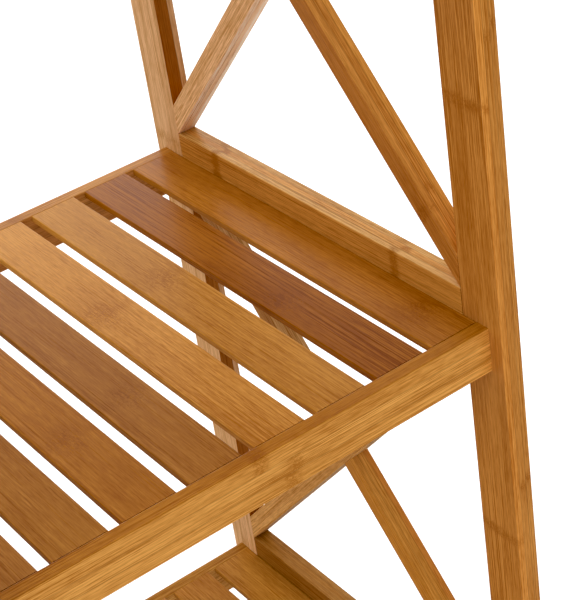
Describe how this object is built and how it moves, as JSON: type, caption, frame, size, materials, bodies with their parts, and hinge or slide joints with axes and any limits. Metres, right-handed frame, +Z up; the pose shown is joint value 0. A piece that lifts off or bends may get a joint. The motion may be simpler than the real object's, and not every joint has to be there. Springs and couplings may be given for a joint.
{
  "type": "ladder shelf",
  "caption": "Free-standing bamboo ladder shelf with slatted trays that grow shallower upwards, leaning front legs and a cross-braced plumb rear frame.",
  "frame": {"origin": "on the floor, under the middle of the overall box", "axes": "+X to the right along the slats, seen from the front; -Y to the front; +Z up"},
  "size_m": [0.333, 0.4436, 1.1705],
  "materials": {
    "bamboo_frame": "clear satin lacquer",
    "bamboo_slat": "clear satin lacquer",
    "dowel_wood": "bare turned hardwood",
    "plated_steel": "zinc plated",
    "pad_rubber": "matt"
  },
  "bodies": {
    "root": {"rear_post_left": "bamboo_frame", "front_leg_left": "bamboo_frame", "rear_post_right": "bamboo_frame", "front_leg_right": "bamboo_frame", "back_rail_tier1": "bamboo_frame", "front_rung_tier1": "bamboo_frame", "end_rail_left_tier1": "bamboo_frame", "end_rail_right_tier1": "bamboo_frame", "slat_tier1_01": "bamboo_slat", "slat_tier1_02": "bamboo_slat", "slat_tier1_03": "bamboo_slat", "slat_tier1_04": "bamboo_slat", "slat_tier1_05": "bamboo_slat", "slat_tier1_06": "bamboo_slat", "slat_tier1_07": "bamboo_slat", "slat_tier1_08": "bamboo_slat", "slat_tier1_09": "bamboo_slat", "slat_tier1_10": "bamboo_slat", "back_rail_tier2": "bamboo_frame", "front_rung_tier2": "bamboo_frame", "end_rail_left_tier2": "bamboo_frame", "end_rail_right_tier2": "bamboo_frame", "slat_tier2_01": "bamboo_slat", "slat_tier2_02": "bamboo_slat", "slat_tier2_03": "bamboo_slat", "slat_tier2_04": "bamboo_slat", "slat_tier2_05": "bamboo_slat", "slat_tier2_06": "bamboo_slat", "slat_tier2_07": "bamboo_slat", "slat_tier2_08": "bamboo_slat", "back_rail_tier3": "bamboo_frame", "front_rung_tier3": "bamboo_frame", "end_rail_left_tier3": "bamboo_frame", "end_rail_right_tier3": "bamboo_frame", "slat_tier3_01": "bamboo_slat", "slat_tier3_02": "bamboo_slat", "slat_tier3_03": "bamboo_slat", "slat_tier3_04": "bamboo_slat", "slat_tier3_05": "bamboo_slat", "slat_tier3_06": "bamboo_slat", "back_rail_tier4": "bamboo_frame", "front_rung_tier4": "bamboo_frame", "end_rail_left_tier4": "bamboo_frame", "end_rail_right_tier4": "bamboo_frame", "slat_tier4_01": "bamboo_slat", "slat_tier4_02": "bamboo_slat", "slat_tier4_03": "bamboo_slat", "slat_tier4_04": "bamboo_slat", "brace_whole_panel1": "bamboo_frame", "brace_upper_half_panel1": "bamboo_frame", "brace_lower_half_panel1": "bamboo_frame", "brace_whole_panel2": "bamboo_frame", "brace_upper_half_panel2": "bamboo_frame", "brace_lower_half_panel2": "bamboo_frame", "brace_whole_panel3": "bamboo_frame", "brace_upper_half_panel3": "bamboo_frame", "brace_lower_half_panel3": "bamboo_frame", "dowels": "dowel_wood", "frame_screws": "plated_steel", "foot_pads": "pad_rubber"}
  },
  "joints": []
}
